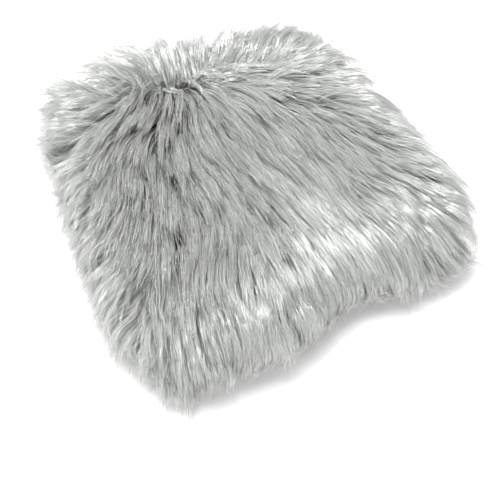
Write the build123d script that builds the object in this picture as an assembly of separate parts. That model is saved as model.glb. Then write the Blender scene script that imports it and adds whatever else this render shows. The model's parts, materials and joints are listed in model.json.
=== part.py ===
"""Zip-on furry windscreen: a long-pile jacket for a basket windshield, lying empty on its side.

The jacket is a flat pouch. Its closed nose end points to -X, its gathered mouth to +X, and its zip
runs along the +Y side. The origin is at the middle of the flat face that it rests on.
Every panel has two nodes: the knitted backing, and the envelope of the pile that stands on it.
"""

from build123d import *

import os
from math import cos, exp, pi, radians, sin

# ---- Driving dimensions, in millimetres and degrees ----
BASKET_DIAMETER = 110.0  # the windshield that the jacket slips over
MOUTH_GATHER = 0.70  # the mouth's flat width, as a share of the nose's
POUCH_LENGTH = 145.0  # the knitted pouch, from its nose edge to its mouth edge
NOSE_LEAN = 2.0  # how far each end edge leans from the Y axis
MOUTH_LEAN = -14.0
KNIT = 1.6  # thickness of the knitted backing
HOLLOW = 28.0  # height that the empty pouch keeps inside
PILE_UNDER = 8.0  # pile crushed beneath the pouch
PILE_OVER = 22.0  # pile standing on top of it
PILE_SIDE = 24.0  # pile hanging over its sides and nose
PILE_PAST_MOUTH = 12.0  # pile reaching past the mouth

NOSE_WIDTH = pi * BASKET_DIAMETER / 2
MOUTH_WIDTH = MOUTH_GATHER * NOSE_WIDTH
POUCH_HEIGHT = HOLLOW + 2 * KNIT
SEAM_Z = PILE_UNDER + POUCH_HEIGHT / 2  # height of the side seams and of the zip
PILE_TOP_Z = PILE_UNDER + POUCH_HEIGHT + PILE_OVER
FLOOR_CUT = 4.0  # how far the round underside is pressed flat
FAR = 400.0  # longer than the jacket, for cutting tools

# ---- Crease that divides the front edge into two lobes ----
CREASE_AT = 0.60  # place along the jacket, from the nose (0) to the mouth (1)
CREASE_WIDTH = 0.10
CREASE_DEPTH = 18.0  # at the front edge, fading out towards the back
CREASE_FADE = 1.5
NOTCH_DEPTH = 0.13  # how far it pulls the front edge in, as a share of the half width
NOTCH_FADE = 2.0

# ---- Sections that the pouch shapes are lofted through ----
SECTION_PLACES = (0.006, 0.03, 0.08, 0.16, 0.27, 0.38, 0.47, 0.54, 0.60, 0.66, 0.73, 0.82, 0.92, 1.0)
SECTION_POINTS = 20
SECTION_START = 4  # points below the back side's middle, so that no cut runs along the loft's seam
KNIT_EDGE_POWER = 0.4  # under 1 squares the side edges of a section, and 1 leaves them round
PILE_EDGE_POWER = 0.6
RISE_POWER = 0.75
NOSE_FLATNESS = 5  # the higher, the closer to its end the rounding starts
MOUTH_FLATNESS = 8
KNIT_MOUTH_ROUND = 0.2  # how much of the rounding the mouth end has, where the nose end has all
PILE_MOUTH_ROUND = 0.7
END_WIDTH_POWER = 0.25
END_HEIGHT_POWER = 0.4
PAST_END = 0.01  # how far a shape reaches past the mouth's face to cut it cleanly

# ---- Nose cap, hem, elastic and bindings ----
NOSE_CAP_LENGTH = 18.0
HEM_LENGTH = 12.0
HEM_OUTSET = 1.2
HEM_THICKNESS = 4.4
ELASTIC_WIDTH = 8.0
ELASTIC_THICKNESS = 1.4
BINDING_THICKNESS = 1.6
BINDING_DEPTH = 6.0
LABEL_SIZE = (26.0, 14.0, 0.6)
LABEL_FROM_MOUTH = 30.0

# ---- Zip, in its own frame: x runs from the mouth to the nose, y up, z outwards ----
ZIP_INNER_END = 0.22  # places along the jacket
ZIP_OUTER_END = 0.93
ZIP_SETBACK = 2.0  # from the pouch's full width in to the zip
ZIP_CHANNEL_HEIGHT = 16.0  # gap in the backing and the pile that the zip shows through
TAPE_WIDTH = 6.4
TAPE_THICKNESS = 0.8
TOOTH_PITCH = 3.0
TOOTH_LENGTH = 3.0
TOOTH_NECK = 1.1
TOOTH_HEAD = 1.9
TOOTH_END = 1.0  # length of the wide head, and of the foot that clamps the tape
TOOTH_THICKNESS = 2.4
ROW_GAP = 1.6  # between the two rows of teeth
STOP_LENGTH = 2.2
STOP_THICKNESS = 2.8
STOP_GAP = 0.4
STOP_CORNER = 0.6
SLIDER_LENGTH = 13.0
SLIDER_WIDTH = 10.4
SLIDER_WALL = 1.2
SLIDER_CORNER = 2.0
SLIDER_CLEARANCE = 0.4
SLIDER_START = 3.2  # from the mouth end of the zip to the closed slider
WEDGE_LENGTH = 5.0
WEDGE_WIDTH = 1.0
FLAP_THICKNESS = 0.8
FLAP_SETBACK = 5.0
FLAP_MARGIN = 0.5

# ---- Pull tab ----
PULL_PIN_RADIUS = 0.8
PULL_LENGTH = 21.0
PULL_WIDTH = 7.0
PULL_THICKNESS = 1.4
PULL_EYE = (6.0, 3.4)
PULL_PIN_SETBACK = 0.7  # from the arms' outer faces in to the pin's ends
BRIDGE_WIDTH = 2.0
BRIDGE_LENGTH = 8.6
BRIDGE_HEIGHT = 4.0
BRIDGE_WALL = 1.0
BRIDGE_CORNER = 1.6
GRIP_LENGTH = 12.0
GRIP_WALL = 0.7
GRIP_EDGE = 0.5
GRIP_FROM_EYE = 1.5
PULL_ROOM = 12.0  # how far the channel runs on past the tapes, for the tab of the open slider


# ---- The pouch: one family of nested closed shapes ----
def end_edge(x, width, lean):
    """The front and back ends of one end edge, seen from above."""
    half = Vector(sin(radians(lean)), cos(radians(lean))) * (width / 2)
    middle = Vector(x, 0)
    return middle - half, middle + half


def plan_line(along, side_inset, nose_inset, mouth_inset):
    """The front and back points of the flat pouch at a place along it, from 0 to 1."""
    nose_x = -POUCH_LENGTH / 2 + nose_inset
    mouth_x = POUCH_LENGTH / 2 - mouth_inset
    nose_front, nose_back = end_edge(nose_x, NOSE_WIDTH - 2 * side_inset, NOSE_LEAN)
    mouth_front, mouth_back = end_edge(mouth_x, MOUTH_WIDTH - 2 * side_inset, MOUTH_LEAN)
    return nose_front + (mouth_front - nose_front) * along, nose_back + (mouth_back - nose_back) * along


def end_rounding(along, mouth_round):
    """Shares of the full width and height that are left near the rounded ends."""
    from_middle = abs(1 - 2 * along)
    if along < 0.5:
        left = 1 - from_middle**NOSE_FLATNESS
    else:
        left = 1 - mouth_round * from_middle**MOUTH_FLATNESS
    return left**END_WIDTH_POWER, left**END_HEIGHT_POWER


def signed_power(value, exponent):
    return abs(value) ** exponent * (1 if value >= 0 else -1)


def crease(along):
    """How much of the crease there is at a place along the jacket, from 0 to 1."""
    return exp(-(((along - CREASE_AT) / CREASE_WIDTH) ** 2))


def pouch(side_inset, nose_inset, mouth_inset, low_z, high_z, is_pile=False):
    """A closed pouch shape, lofted through sections from the nose to the mouth."""
    centre_z = (low_z + high_z) / 2
    half_height = (high_z - low_z) / 2
    edge_power = PILE_EDGE_POWER if is_pile else KNIT_EDGE_POWER
    mouth_round = PILE_MOUTH_ROUND if is_pile else KNIT_MOUTH_ROUND
    sections = []
    for along in SECTION_PLACES:
        front, back = plan_line(along, side_inset, nose_inset, mouth_inset)
        middle = (front + back) / 2
        half_width = (back - front) / 2
        wide, tall = end_rounding(along, mouth_round)
        creased = crease(along) if is_pile else 0
        ring = []
        for step in range(SECTION_POINTS):
            turn = 2 * pi * (step - SECTION_START) / SECTION_POINTS
            across = wide * signed_power(cos(turn), edge_power)
            rise = half_height * tall * signed_power(sin(turn), RISE_POWER)
            frontness = (1 - across) / 2
            if rise > 0:
                rise *= 1 - creased * frontness**CREASE_FADE * CREASE_DEPTH / half_height
            across += creased * frontness**NOTCH_FADE * NOTCH_DEPTH
            point = middle + half_width * across
            ring.append((point.X, point.Y, centre_z + rise))
        evenly = [step / SECTION_POINTS for step in range(SECTION_POINTS + 1)]
        sections.append(Wire([Edge.make_spline(ring, periodic=True, parameters=evenly)]))
    return Solid.make_loft(sections)


def slab_beyond(end, x, lean):
    """A block that holds everything on the nose or mouth side of a leaning upright plane."""
    side = 1 if end == "mouth" else -1
    slab = Pos(side * FAR / 2, 0, 0) * Box(FAR, 2 * FAR, 2 * FAR)
    return Pos(x, 0, 0) * Rot(0, 0, -lean) * slab


def above_seam():
    return Pos(0, 0, SEAM_Z + FAR / 2) * Box(2 * FAR, 2 * FAR, FAR)


# ---- The zip's frame ----
def zip_line():
    """The zip's two ends, on the pouch's back side."""
    _, outer = plan_line(ZIP_OUTER_END, 0, 0, 0)
    _, inner = plan_line(ZIP_INNER_END, 0, 0, 0)
    return outer, inner


def zip_plane():
    outer, inner = zip_line()
    towards_nose = (inner - outer).normalized()
    outwards = Vector(towards_nose.Y, -towards_nose.X)
    origin = Vector(outer.X, outer.Y, SEAM_Z) - outwards * ZIP_SETBACK
    return Plane(origin=origin, x_dir=towards_nose, z_dir=outwards)


def zip_length():
    outer, inner = zip_line()
    pitches = int((inner - outer).length / TOOTH_PITCH)
    return pitches * TOOTH_PITCH


def on_zip(shape):
    """Moves a shape from the zip's own frame to its place on the jacket."""
    return zip_plane().location * shape


def block(x_span, y_span, z_span):
    """A box given by its lowest and highest coordinate along each axis."""
    size = [span[1] - span[0] for span in (x_span, y_span, z_span)]
    middle = [(span[0] + span[1]) / 2 for span in (x_span, y_span, z_span)]
    return Pos(*middle) * Box(*size)


def zip_channel():
    """The space that the zip, its slider and its pull tab work in."""
    half = ZIP_CHANNEL_HEIGHT / 2
    inner_end = zip_length() + STOP_LENGTH + TAPE_WIDTH
    room_for_zip = block((-FAR, inner_end), (-half, half), (-TAPE_THICKNESS / 2, FAR))
    room_for_pull = block((0, inner_end + PULL_ROOM), (-half, half), (TOOTH_THICKNESS / 2, FAR))
    return on_zip(room_for_zip + room_for_pull)


def zip_seat():
    """The space behind the channel that the tapes and the slider's inner plate take up."""
    reach = ROW_GAP / 2 + TOOTH_LENGTH + TAPE_WIDTH
    inner_end = zip_length() + STOP_LENGTH + TAPE_WIDTH
    depth = FLAP_SETBACK + FLAP_THICKNESS
    return on_zip(block((-FAR, inner_end), (-reach, reach), (-depth, TAPE_THICKNESS / 2)))


def zip_tape(side):
    start = ROW_GAP / 2 + TOOTH_LENGTH
    half = TAPE_THICKNESS / 2
    length = zip_length() + STOP_LENGTH + TAPE_WIDTH
    y_span = sorted((side * start, side * (start + TAPE_WIDTH)))
    return on_zip(block((0, length), y_span, (-half, half)))


def zip_tooth():
    """One moulded tooth that points down to the middle of the zip, with its tip at the origin."""
    neck = Pos(0, TOOTH_LENGTH / 2) * Rectangle(TOOTH_NECK, TOOTH_LENGTH)
    head = Pos(0, TOOTH_END / 2) * Rectangle(TOOTH_HEAD, TOOTH_END)
    foot = Pos(0, TOOTH_LENGTH - TOOTH_END / 2) * Rectangle(TOOTH_HEAD, TOOTH_END)
    return extrude(neck + head + foot, TOOTH_THICKNESS / 2, both=True)


def zip_teeth(side):
    """A row of teeth from the top stop to the bottom stop, half a pitch out of step with the other."""
    first = SLIDER_START + TOOTH_PITCH / 2 * (1 if side > 0 else 2)
    count = int((zip_length() - first - TOOTH_HEAD / 2) / TOOTH_PITCH) + 1
    tooth = Pos(0, ROW_GAP / 2, 0) * zip_tooth()
    if side < 0:
        tooth = Rot(0, 0, 180) * tooth
    row = [Pos(first + TOOTH_PITCH * index, 0, 0) * tooth for index in range(count)]
    return on_zip(Compound(children=row))


def zip_top_stops():
    """The two stops that hold the closed slider, one on each tape's edge."""
    stops = []
    for side in (-1, 1):
        y_span = sorted((side * ROW_GAP / 2, side * (ROW_GAP / 2 + TOOTH_LENGTH)))
        half = STOP_THICKNESS / 2
        stops.append(block((STOP_GAP, STOP_GAP + STOP_LENGTH), y_span, (-half, half)))
    return on_zip(Compound(children=stops))


def zip_bottom_stop():
    """The stop that joins both tapes at the inner end."""
    reach = ROW_GAP / 2 + TOOTH_LENGTH
    half = STOP_THICKNESS / 2
    start = zip_length() + STOP_GAP
    stop = block((start, start + STOP_LENGTH), (-reach, reach), (-half, half))
    return on_zip(fillet(stop.edges().filter_by(Axis.Z), STOP_CORNER))


def zip_wind_flap():
    """The strip sewn behind the zip to stop wind at its teeth."""
    half = ZIP_CHANNEL_HEIGHT / 2 - FLAP_MARGIN
    length = zip_length() + STOP_LENGTH
    return on_zip(block((0, length), (-half, half), (-FLAP_SETBACK - FLAP_THICKNESS, -FLAP_SETBACK)))


# ---- The slider and its pull tab ----
def slider_middle():
    return SLIDER_START + SLIDER_LENGTH / 2


def slider_body():
    """Two plates with flanges round the teeth, joined by a wedge between the rows."""
    inside = TOOTH_THICKNESS / 2 + SLIDER_CLEARANCE
    outside = inside + SLIDER_WALL
    half_width = SLIDER_WIDTH / 2
    x_span = (-SLIDER_LENGTH / 2, SLIDER_LENGTH / 2)
    flange = half_width - (ROW_GAP / 2 + TOOTH_LENGTH + SLIDER_CLEARANCE)
    tape_room = TAPE_THICKNESS / 2 + SLIDER_CLEARANCE
    wedge_x = (x_span[0], x_span[0] + WEDGE_LENGTH)
    body = block(wedge_x, (-WEDGE_WIDTH / 2, WEDGE_WIDTH / 2), (-outside, outside))
    for face in (-1, 1):
        plate = block(x_span, (-half_width, half_width), sorted((face * inside, face * outside)))
        plate = fillet(plate.edges().filter_by(Axis.Z), SLIDER_CORNER)
        body += plate
        for side in (-1, 1):
            y_span = sorted((side * (half_width - flange), side * half_width))
            rim_x = (x_span[0] + SLIDER_CORNER, x_span[1] - SLIDER_CORNER)
            body += block(rim_x, y_span, sorted((face * tape_room, face * inside)))
    return on_zip(Pos(slider_middle(), 0, 0) * body)


def slider_top_z():
    return TOOTH_THICKNESS / 2 + SLIDER_CLEARANCE + SLIDER_WALL


def slider_bridge():
    """The arch on the outer plate that holds the pull tab."""
    base = slider_top_z()
    half = BRIDGE_LENGTH / 2
    outer = Pos(0, base + BRIDGE_HEIGHT / 2) * RectangleRounded(BRIDGE_LENGTH, BRIDGE_HEIGHT, BRIDGE_CORNER)
    outer += Pos(0, base + BRIDGE_HEIGHT / 4) * Rectangle(BRIDGE_LENGTH, BRIDGE_HEIGHT / 2)
    opening_height = BRIDGE_HEIGHT - BRIDGE_WALL
    opening = Pos(0, base + opening_height / 2) * Rectangle(2 * (half - BRIDGE_WALL), opening_height)
    profile = Plane.XZ * (outer - opening)
    arch = extrude(profile, BRIDGE_WIDTH / 2, both=True)
    return on_zip(Pos(slider_middle(), 0, 0) * arch)


def pull_axis_z():
    return slider_top_z() + (BRIDGE_HEIGHT - BRIDGE_WALL) / 2


def pull_tab():
    """The pull tab, closed, pointing to the nose: a pin in the bridge, two arms and a plate."""
    eye_length, eye_width = PULL_EYE
    plate = SlotOverall(PULL_LENGTH + PULL_WIDTH / 2, PULL_WIDTH)
    plate = Pos((PULL_LENGTH - PULL_WIDTH / 2) / 2, 0) * plate
    plate -= Pos(eye_length / 2, 0) * Rectangle(eye_length, eye_width)
    behind_pin = Pos(-PULL_WIDTH - PULL_PIN_RADIUS, 0) * Rectangle(2 * PULL_WIDTH, 2 * PULL_WIDTH)
    tab = extrude(plate - behind_pin, PULL_THICKNESS / 2, both=True)
    pin = Rot(90, 0, 0) * Cylinder(PULL_PIN_RADIUS, PULL_WIDTH - 2 * PULL_PIN_SETBACK)
    return on_zip(Pos(slider_middle(), 0, pull_axis_z()) * (tab + pin))


def pull_grip():
    """The rubber sleeve moulded over the free end of the pull tab."""
    eye_length, _ = PULL_EYE
    outer_thickness = PULL_THICKNESS + 2 * GRIP_WALL
    outline = SlotOverall(GRIP_LENGTH + 2 * GRIP_WALL, PULL_WIDTH + 2 * GRIP_WALL)
    middle = PULL_LENGTH - GRIP_LENGTH / 2
    sleeve = Pos(middle, 0, 0) * extrude(outline, outer_thickness / 2, both=True)
    sleeve = fillet(sleeve.edges().filter_by(Plane.XY), GRIP_EDGE)
    keep = block((eye_length + GRIP_FROM_EYE, FAR), (-FAR, FAR), (-FAR, FAR))
    return on_zip(Pos(slider_middle(), 0, pull_axis_z()) * (sleeve & keep)) - pull_tab()


# ---- The sewn jacket ----
def build_jacket():
    """Every sewn piece, as node name to shape."""
    pile_outside = pouch(
        -PILE_SIDE, -PILE_SIDE, -PILE_PAST_MOUTH, -FLOOR_CUT, PILE_TOP_Z, is_pile=True
    )
    pile_outside -= Pos(0, 0, -FAR / 2) * Box(2 * FAR, 2 * FAR, FAR)
    pouch_high = PILE_UNDER + POUCH_HEIGHT
    knit_outside = pouch(0, 0, 0, PILE_UNDER, pouch_high)
    hollow = pouch(KNIT, KNIT, -PAST_END, PILE_UNDER + KNIT, pouch_high - KNIT)

    upper_side = above_seam()
    nose_x = -POUCH_LENGTH / 2 + NOSE_CAP_LENGTH
    nose_side = slab_beyond("nose", nose_x, NOSE_LEAN)
    mouth_edge_x = POUCH_LENGTH / 2
    hem_side = slab_beyond("mouth", mouth_edge_x - HEM_LENGTH, MOUTH_LEAN)
    mouth_face = knit_outside.faces().sort_by(Axis.X)[-1]
    mouth_bore = extrude(mouth_face, 2 * PILE_PAST_MOUTH, dir=mouth_face.normal_at())

    hem_outside = pouch(-HEM_OUTSET, 0, 0, PILE_UNDER - HEM_OUTSET, pouch_high + HEM_OUTSET)
    hem_inset = HEM_THICKNESS - HEM_OUTSET
    hem_inside = pouch(hem_inset, 0, -PAST_END, PILE_UNDER + hem_inset, pouch_high - hem_inset)
    channel = zip_channel()
    seat = zip_seat()

    pile = pile_outside - knit_outside - mouth_bore - channel - seat - (hem_outside & hem_side)
    knit = knit_outside - hollow - channel - seat - hem_side
    hem = (hem_outside & hem_side) - hem_inside - channel - seat
    hem = hem.solids().sort_by(SortBy.VOLUME)[-1]
    elastic = make_elastic(hem, mouth_edge_x)
    hem -= elastic

    jacket = {}
    jacket["nose_fur_pile"] = pile & nose_side
    jacket["upper_fur_pile"] = (pile & upper_side) - nose_side
    jacket["lower_fur_pile"] = pile - upper_side - nose_side
    jacket["nose_knit_backing"] = knit & nose_side
    jacket["upper_knit_backing"] = (knit & upper_side) - nose_side
    jacket["lower_knit_backing"] = knit - upper_side - nose_side
    jacket["mouth_hem_casing"] = hem
    jacket["mouth_elastic"] = elastic
    jacket["nose_seam_binding"] = nose_binding(hollow, nose_x)
    jacket["side_seam_binding"] = side_binding(hollow, nose_x, mouth_edge_x)
    jacket["blank_label"] = blank_label(hollow, mouth_edge_x)
    return jacket


def make_elastic(hem, mouth_edge_x):
    """The elastic band inside the hem: the middle layer of the casing's wall."""
    outer_inset = (HEM_THICKNESS - ELASTIC_THICKNESS) / 2 - HEM_OUTSET
    inner_inset = outer_inset + ELASTIC_THICKNESS
    pouch_high = PILE_UNDER + POUCH_HEIGHT
    outer = pouch(outer_inset, 0, 0, PILE_UNDER + outer_inset, pouch_high - outer_inset)
    inner = pouch(inner_inset, 0, -PAST_END, PILE_UNDER + inner_inset, pouch_high - inner_inset)
    margin = (HEM_LENGTH - ELASTIC_WIDTH) / 2
    band = slab_beyond("mouth", mouth_edge_x - HEM_LENGTH + margin, MOUTH_LEAN)
    band -= slab_beyond("mouth", mouth_edge_x - margin, MOUTH_LEAN)
    return hem & (outer - inner) & band


def nose_binding(hollow, nose_x):
    """Tape folded over the seam between the nose cap and the two body panels."""
    inset = KNIT + BINDING_DEPTH
    pouch_high = PILE_UNDER + POUCH_HEIGHT
    core = pouch(inset, inset, -2 * PAST_END, PILE_UNDER + inset, pouch_high - inset)
    slice_block = slab_beyond("mouth", nose_x - BINDING_THICKNESS / 2, NOSE_LEAN)
    slice_block -= slab_beyond("mouth", nose_x + BINDING_THICKNESS / 2, NOSE_LEAN)
    return (hollow & slice_block) - core


def side_binding(hollow, nose_x, mouth_edge_x):
    """Tape folded over the seam between the upper and lower panels, along the front side."""
    front_nose, _ = plan_line(0, KNIT, 0, 0)
    front_mouth, _ = plan_line(1, KNIT, 0, 0)
    along = (front_mouth - front_nose).normalized()
    frame = Plane(origin=(front_nose.X, front_nose.Y, SEAM_Z), x_dir=along, z_dir=(0, 0, 1))
    half = BINDING_THICKNESS / 2
    strip = frame.location * block((0, FAR), (-BINDING_DEPTH, BINDING_DEPTH), (-half, half))
    strip -= slab_beyond("nose", nose_x + BINDING_THICKNESS, NOSE_LEAN)
    strip -= slab_beyond("mouth", mouth_edge_x - HEM_LENGTH, MOUTH_LEAN)
    return strip & hollow


def blank_label(hollow, mouth_edge_x):
    """A plain woven label lying on the inside of the lower panel, near the mouth."""
    length, width, thickness = LABEL_SIZE
    middle_x = mouth_edge_x - LABEL_FROM_MOUTH
    column = Pos(middle_x, 0, SEAM_Z - HOLLOW / 2) * Box(width, length, HOLLOW)
    return (hollow & column) - Pos(0, 0, thickness) * hollow


def build_zip():
    """Every piece of the zip, as node name to shape."""
    return {
        "zip_tape_upper": zip_tape(1),
        "zip_tape_lower": zip_tape(-1),
        "zip_teeth_upper": zip_teeth(1),
        "zip_teeth_lower": zip_teeth(-1),
        "zip_top_stops": zip_top_stops(),
        "zip_bottom_stop": zip_bottom_stop(),
        "zip_wind_flap": zip_wind_flap(),
        "slider_body": slider_body(),
        "slider_bridge": slider_bridge(),
        "pull_tab": pull_tab(),
        "pull_grip": pull_grip(),
    }


def slider_travel():
    """How far the slider runs from closed, where it meets the top stops, to the bottom stop."""
    return zip_length() - SLIDER_START - SLIDER_LENGTH


def to_origin(shapes):
    """The move that puts the middle of the resting jacket over the origin."""
    boxes = [shape.bounding_box() for shape in shapes]
    low_x, high_x = min(box.min.X for box in boxes), max(box.max.X for box in boxes)
    low_y, high_y = min(box.min.Y for box in boxes), max(box.max.Y for box in boxes)
    return Pos(-(low_x + high_x) / 2, -(low_y + high_y) / 2, 0)


def print_joints(move):
    """Prints what the record states about the slider's slide, the pull tab's hinge and the mouth."""
    pivot = on_zip(Pos(slider_middle(), 0, pull_axis_z()))
    print("slide axis", zip_plane().x_dir, "travel", slider_travel())
    print("pull pivot", (move * pivot).position, "axis", zip_plane().x_dir.cross(zip_plane().z_dir))
    print("mouth centre", (move * Pos(POUCH_LENGTH / 2, 0, SEAM_Z)).position, "lean", MOUTH_LEAN)


os.makedirs("parts", exist_ok=True)
nodes = build_jacket() | build_zip()
move = to_origin([shape for name, shape in nodes.items() if name.endswith("fur_pile")])
for name, shape in nodes.items():
    export_step(move * shape, f"parts/{name}.step")
print_joints(move)
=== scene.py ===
"""Looks for the furry windscreen: its long pile, its fabrics, its zip, and the studio round it."""

import json
import math

import bmesh
import bpy
import numpy as np
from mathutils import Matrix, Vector
from mathutils.bvhtree import BVHTree
from mathutils.kdtree import KDTree


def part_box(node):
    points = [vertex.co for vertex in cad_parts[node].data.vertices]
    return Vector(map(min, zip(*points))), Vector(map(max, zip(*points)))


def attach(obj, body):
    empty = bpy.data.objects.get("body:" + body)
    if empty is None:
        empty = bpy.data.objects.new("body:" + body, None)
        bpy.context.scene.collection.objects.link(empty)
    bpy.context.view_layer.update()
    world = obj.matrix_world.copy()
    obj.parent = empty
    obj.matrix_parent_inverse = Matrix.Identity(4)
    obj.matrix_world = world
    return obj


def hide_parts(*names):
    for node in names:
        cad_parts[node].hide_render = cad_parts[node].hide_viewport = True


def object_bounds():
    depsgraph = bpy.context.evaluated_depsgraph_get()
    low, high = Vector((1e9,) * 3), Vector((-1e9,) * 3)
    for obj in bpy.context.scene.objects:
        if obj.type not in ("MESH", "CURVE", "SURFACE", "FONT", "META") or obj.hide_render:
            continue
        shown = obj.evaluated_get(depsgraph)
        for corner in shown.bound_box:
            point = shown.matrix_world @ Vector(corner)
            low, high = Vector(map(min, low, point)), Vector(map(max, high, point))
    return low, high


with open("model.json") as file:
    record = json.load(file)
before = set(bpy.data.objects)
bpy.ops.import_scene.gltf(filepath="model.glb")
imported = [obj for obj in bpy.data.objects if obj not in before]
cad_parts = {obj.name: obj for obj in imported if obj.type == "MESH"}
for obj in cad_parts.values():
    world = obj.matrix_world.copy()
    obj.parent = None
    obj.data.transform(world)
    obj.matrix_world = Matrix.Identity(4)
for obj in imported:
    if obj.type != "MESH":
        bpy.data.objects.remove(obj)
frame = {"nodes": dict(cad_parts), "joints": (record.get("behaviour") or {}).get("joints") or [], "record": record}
cad_low, cad_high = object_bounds()
nodes = frame["nodes"]
joints = {joint["name"]: joint for joint in frame["joints"]}
mounts = {mount["name"]: mount for mount in frame["record"]["mounts"]}
rng = np.random.default_rng(5)

PILE_NODES = ("upper_fur_pile", "lower_fur_pile", "nose_fur_pile")
KNIT_NODES = ("upper_knit_backing", "lower_knit_backing", "nose_knit_backing")
UP = np.array([0.0, 0.0, 1.0])


# ---- Geometry helpers ----
def unit(vectors):
    lengths = np.linalg.norm(vectors, axis=-1, keepdims=True)
    return vectors / np.maximum(lengths, 1e-9)


def polygons_of(node):
    """The corner points of a CAD node's triangles, as an array of (count, 3, 3)."""
    mesh = nodes[node].data
    mesh.calc_loop_triangles()
    points = np.zeros(len(mesh.vertices) * 3)
    mesh.vertices.foreach_get("co", points)
    corners = np.zeros(len(mesh.loop_triangles) * 3, np.int32)
    mesh.loop_triangles.foreach_get("vertices", corners)
    return points.reshape(-1, 3)[corners].reshape(-1, 3, 3)


def tree_of(triangles):
    corners = triangles.reshape(-1, 3)
    faces = np.arange(len(corners)).reshape(-1, 3)
    return BVHTree.FromPolygons(corners.tolist(), faces.tolist(), all_triangles=True)


def normals_of(triangles):
    return unit(np.cross(triangles[:, 1] - triangles[:, 0], triangles[:, 2] - triangles[:, 0]))


def nearest(tree, points):
    """The nearest point on the tree, the normal there and the distance, for each point."""
    found = [tree.find_nearest(point) for point in points.tolist()]
    places = np.array([hit[0][:] for hit in found])
    facing = np.array([hit[1][:] for hit in found])
    return places, facing, np.array([hit[3] for hit in found])


# ---- Measures taken from the frame, in metres ----
HALF_X = cad_high.x
HALF_Y = cad_high.y
SEAM_Z = joints["pull_swing"]["pos_m"][2]

# The zip. "along" runs from its closed end to its stop, and "beyond" runs out of the jacket.
ZIP_AXIS = np.array(joints["zip_slide"]["axis"])
ZIP_OUT = np.array([ZIP_AXIS[1], -ZIP_AXIS[0], 0.0])
ZIP_POINT = np.array(joints["pull_swing"]["pos_m"])
tape_points = polygons_of("zip_tape_upper").reshape(-1, 3)
tape_along = -((tape_points - ZIP_POINT) @ ZIP_AXIS)
tape_beyond = (tape_points - ZIP_POINT) @ ZIP_OUT
tape_rise = tape_points[:, 2] - SEAM_Z

# The channel that the pile leaves open for the slider and its pull.
ZIP_LOW = tape_along.min() - 0.012
ZIP_HIGH = tape_along.max() + 0.030
ZIP_BACK = tape_beyond.max() - 0.001
CHANNEL_HALF = 0.0082
CHANNEL_TAPER = 0.006  # how far from its ends the channel begins to close

# The mouth, as an oval a little smaller than the hem.
MOUTH_POINT = np.array(mounts["windshield_mouth"]["pos_m"])
MOUTH_OUT = unit(np.array(mounts["windshield_mouth"]["axis"]))
MOUTH_ACROSS = np.array([-MOUTH_OUT[1], MOUTH_OUT[0], 0.0])
hem_points = polygons_of("mouth_hem_casing").reshape(-1, 3) - MOUTH_POINT
MOUTH_HALF_WIDTH = np.abs(hem_points @ MOUTH_ACROSS).max() - 0.004
MOUTH_HALF_HEIGHT = np.abs(hem_points[:, 2]).max() - 0.001
MOUTH_POWER = 3  # how square the oval is
LEAST_REACH = 0.2  # points nearer the oval's middle than this are pushed out less far

# ---- Fur: where it is planted ----
PILE_LENGTH = 0.050
LOCK_COUNT = 1500
TUFT_COUNT = 8200
STRANDS_PER_TUFT = 8
ROOT_DEPTH = 0.0006  # how far a root is sunk in the knit
LEVEL_ENOUGH = 0.8  # a face counts as level where its normal's height is more than this
UNDER_SHARE = 0.35  # how densely the hidden underside is planted, with the top as 1
SIDE_SHARE = 1.8
BACK_SHARE = 2.0  # how much denser the strip along the zip's edge is
BACK_STRIP = 0.02

# ---- Fur: the direction it is combed in ----
CROWN = np.array([-0.16 * HALF_X, 0.84 * HALF_Y])  # where the pile is parted, near the back edge
CROWN_RADIUS = 0.012  # inside it the flow dies away
FORWARD_PULL = 0.15
FORWARD_GAIN = 4.5  # for each metre past FORWARD_START from the crown
FORWARD_START = 0.03
MOUTH_PULL = 0.9
MOUTH_BAND = 0.04
PARTING_BAND = 0.012  # over which the flow turns from forwards to backwards
BACK_PULL = 0.9
FAN_PULL = 0.5
FAN_BAND = 0.03
NOSE_PULL = 0.8
NOSE_PULL_POWER = 4
CORNER_START = 1.05  # the sum of a point's shares of the half lengths where the corner begins
CORNER_MOST = 0.5
CORNER_PULL = 6.0
CORNER_OUT = np.array([-0.8, 0.6, 0.0])
GRAVITY = 1.5
CORNER_LIGHTNESS = 1.8  # how much less gravity there is for each unit of in_corner
UNDERSIDE = -0.35  # below this height of the outward direction, pile lies outwards from the middle

# ---- Fur: how its guide lines grow ----
GROW_STEPS = 12
PARTING = 0.021  # how far before the zip the pile is parted
PARTING_SPREAD = 0.006
KNIT_CONTACT = 0.001  # nearer than this, the knit's own normal is the outward direction
SMALLEST_ROOM = 1e-6
UPRIGHT_SHARE = 0.6  # how far the roots of the upper pile are turned up
RISE_POWER = 2.5
STEEPEST_CLIMB = 1.6
SIDE_CLIMB = 1.6  # what is added to it on upright sides
STEEPEST_DIVE = -1.1
HANG_LIMIT = -0.5  # above this height of the outward direction, low pile hangs
HANG_SHARE = 0.25  # how much of a dive is kept where the pile hangs below the seam
FLOOR_GAP = 0.0007
MOST_PAST_BACK = 0.0145  # how far the pile may stand out behind the CAD's box

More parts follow.
